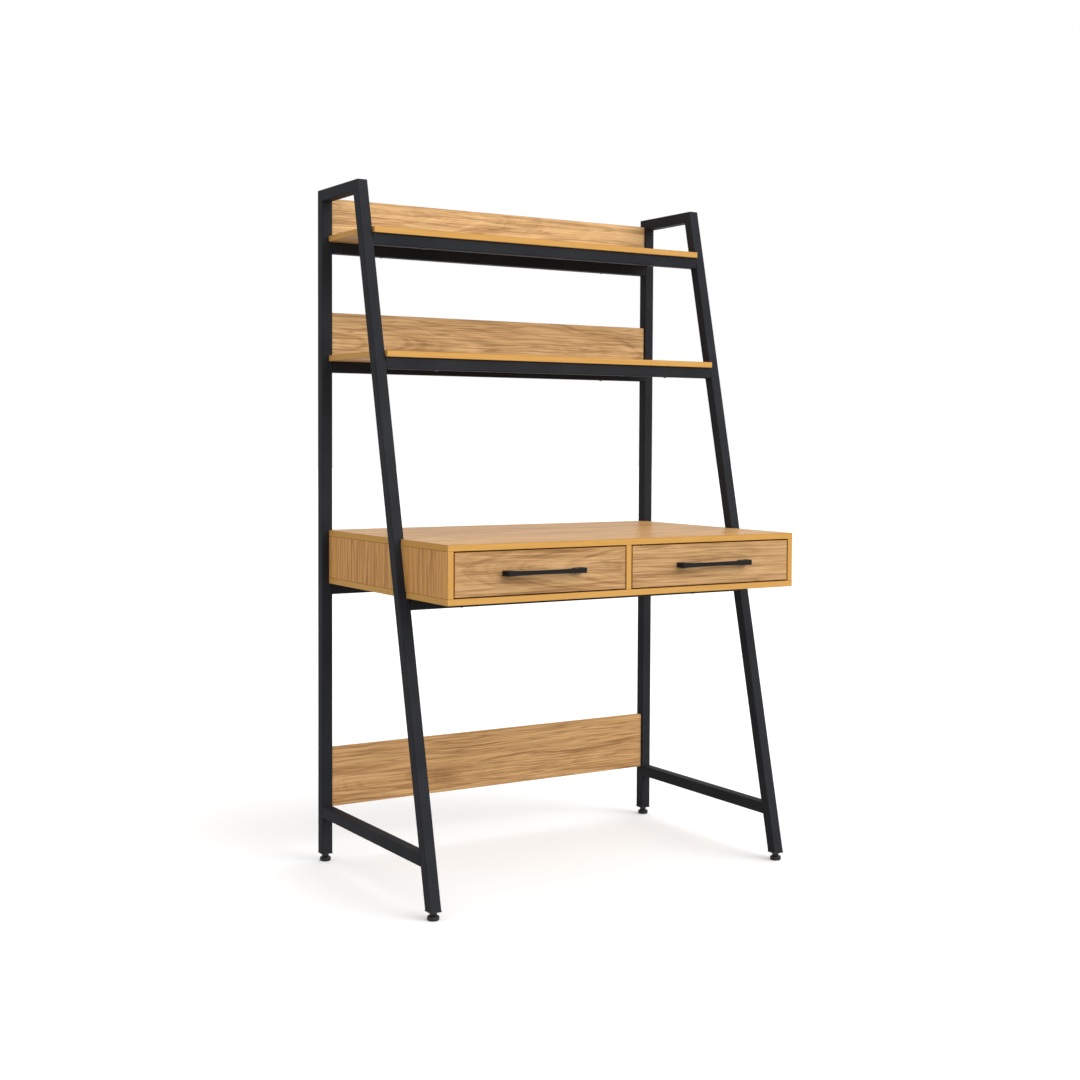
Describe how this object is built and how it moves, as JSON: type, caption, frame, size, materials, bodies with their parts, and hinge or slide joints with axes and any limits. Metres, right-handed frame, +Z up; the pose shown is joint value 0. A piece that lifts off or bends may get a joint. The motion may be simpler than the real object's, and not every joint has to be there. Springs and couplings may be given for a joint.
{
  "type": "ladder desk with bookcase",
  "caption": "Ladder desk: leaning square-tube side frames carry shelves with upstands above a desk box with sliding drawers on ball runners, bow handles, a rear stretcher and levelling feet.",
  "frame": {"origin": "on the floor, under the middle of the whole desk", "axes": "+Z up, +Y from the drawers' fronts to the back, +X to the right of a person who sits at the desk"},
  "size_m": [0.9, 0.607, 1.5],
  "materials": {
    "oak_board": "satin oak-grain board",
    "drawer_board": "pale plain board",
    "black_steel": "charcoal powder coat",
    "handle_black": "satin black",
    "runner_steel": "bright zinc",
    "ball_steel": "polished balls in a bright cage",
    "screw_steel": "dark zinc",
    "foot_plastic": "moulded black",
    "insert_plastic": "moulded black"
  },
  "bodies": {
    "frame": {"desk_back": "oak_board", "desk_bottom": "oak_board", "desk_divider": "oak_board", "desk_front_rail": "black_steel", "desk_left_side": "oak_board", "desk_rear_rail": "black_steel", "desk_right_side": "oak_board", "desk_screws": "screw_steel", "desk_top": "oak_board", "front_post_inserts": "insert_plastic", "left_drawer_left_cabinet_runner": "runner_steel", "left_drawer_right_cabinet_runner": "runner_steel", "left_front_post": "black_steel", "left_rear_post": "black_steel", "left_tie_bar": "black_steel", "left_top_bar": "black_steel", "lower_shelf": "oak_board", "lower_shelf_front_rail": "black_steel", "lower_shelf_rear_rail": "black_steel", "lower_upstand": "oak_board", "rear_post_inserts": "insert_plastic", "rear_stretcher": "oak_board", "right_drawer_left_cabinet_runner": "runner_steel", "right_drawer_right_cabinet_runner": "runner_steel", "right_front_post": "black_steel", "right_rear_post": "black_steel", "right_tie_bar": "black_steel", "right_top_bar": "black_steel", "shelf_screws": "screw_steel", "stretcher_screws": "screw_steel", "stretcher_tabs": "black_steel", "upper_shelf": "oak_board", "upper_shelf_front_rail": "black_steel", "upper_shelf_rear_rail": "black_steel", "upper_upstand": "oak_board"},
    "left_drawer": {"left_drawer_back": "drawer_board", "left_drawer_bottom": "drawer_board", "left_drawer_front": "oak_board", "left_drawer_handle": "handle_black", "left_drawer_handle_screws": "screw_steel", "left_drawer_left_side": "drawer_board", "left_drawer_left_slide_runner": "runner_steel", "left_drawer_right_side": "drawer_board", "left_drawer_right_slide_runner": "runner_steel"},
    "left_ball_cages": {"left_drawer_ball_cages": "ball_steel"},
    "right_drawer": {"right_drawer_back": "drawer_board", "right_drawer_bottom": "drawer_board", "right_drawer_front": "oak_board", "right_drawer_handle": "handle_black", "right_drawer_handle_screws": "screw_steel", "right_drawer_left_side": "drawer_board", "right_drawer_left_slide_runner": "runner_steel", "right_drawer_right_side": "drawer_board", "right_drawer_right_slide_runner": "runner_steel"},
    "right_ball_cages": {"right_drawer_ball_cages": "ball_steel"},
    "left_front_foot": {"left_front_foot": "foot_plastic"},
    "left_rear_foot": {"left_rear_foot": "foot_plastic"},
    "right_front_foot": {"right_front_foot": "foot_plastic"},
    "right_rear_foot": {"right_rear_foot": "foot_plastic"}
  },
  "joints": [
    {"name": "left_drawer_slide", "type": "slide", "parent": "frame", "child": "left_drawer", "axis": [0, -1, 0], "range_m": [0, 0.33]},
    {"name": "left_cage_roll", "type": "slide", "parent": "frame", "child": "left_ball_cages", "axis": [0, -1, 0], "range_m": [0, 0.165]},
    {"name": "right_drawer_slide", "type": "slide", "parent": "frame", "child": "right_drawer", "axis": [0, -1, 0], "range_m": [0, 0.33]},
    {"name": "right_cage_roll", "type": "slide", "parent": "frame", "child": "right_ball_cages", "axis": [0, -1, 0], "range_m": [0, 0.165]},
    {"name": "left_front_foot_screw", "type": "slide", "parent": "frame", "child": "left_front_foot", "axis": [0, 0, -1], "range_m": [-0.0017, 0.012]},
    {"name": "left_rear_foot_screw", "type": "slide", "parent": "frame", "child": "left_rear_foot", "axis": [0, 0, -1], "range_m": [-0.0017, 0.012]},
    {"name": "right_front_foot_screw", "type": "slide", "parent": "frame", "child": "right_front_foot", "axis": [0, 0, -1], "range_m": [-0.0017, 0.012]},
    {"name": "right_rear_foot_screw", "type": "slide", "parent": "frame", "child": "right_rear_foot", "axis": [0, 0, -1], "range_m": [-0.0017, 0.012]}
  ],
  "couplings": [
    {"joint": "left_cage_roll", "follows": "left_drawer_slide", "ratio": 0.5},
    {"joint": "right_cage_roll", "follows": "right_drawer_slide", "ratio": 0.5}
  ]
}
